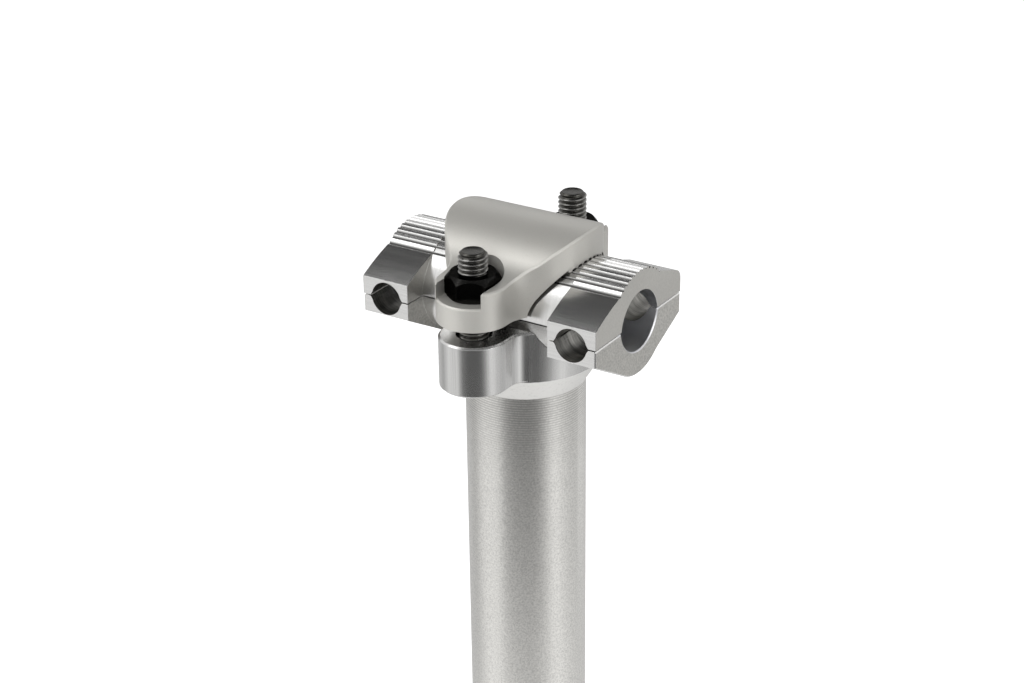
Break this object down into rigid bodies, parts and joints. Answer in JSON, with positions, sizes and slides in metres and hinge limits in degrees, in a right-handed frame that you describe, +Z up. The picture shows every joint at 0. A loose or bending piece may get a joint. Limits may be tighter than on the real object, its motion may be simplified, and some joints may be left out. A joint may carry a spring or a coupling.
{
  "type": "bicycle seatpost",
  "caption": "Seatpost with a forged head, a serrated two-piece saddle rail clamp and a toothed yoke drawn down by two bolts.",
  "frame": {"origin": "middle of the open lower end of the tube", "axes": "+Z up the post, +X across the two saddle rails, -Y the front of the clamp as pictured"},
  "size_m": [0.0554, 0.0532, 0.3169],
  "materials": {
    "post": "turned and satin",
    "clamp": "machined, bright",
    "yoke": "matte, blasted",
    "black_steel": "black oxide, satin"
  },
  "bodies": {
    "root": {"post": "post", "rail_clamp_lower": "clamp", "rail_clamp_upper": "clamp", "yoke": "yoke", "bolt_front": "black_steel", "bolt_rear": "black_steel", "nut_front": "black_steel", "nut_rear": "black_steel"}
  },
  "joints": []
}
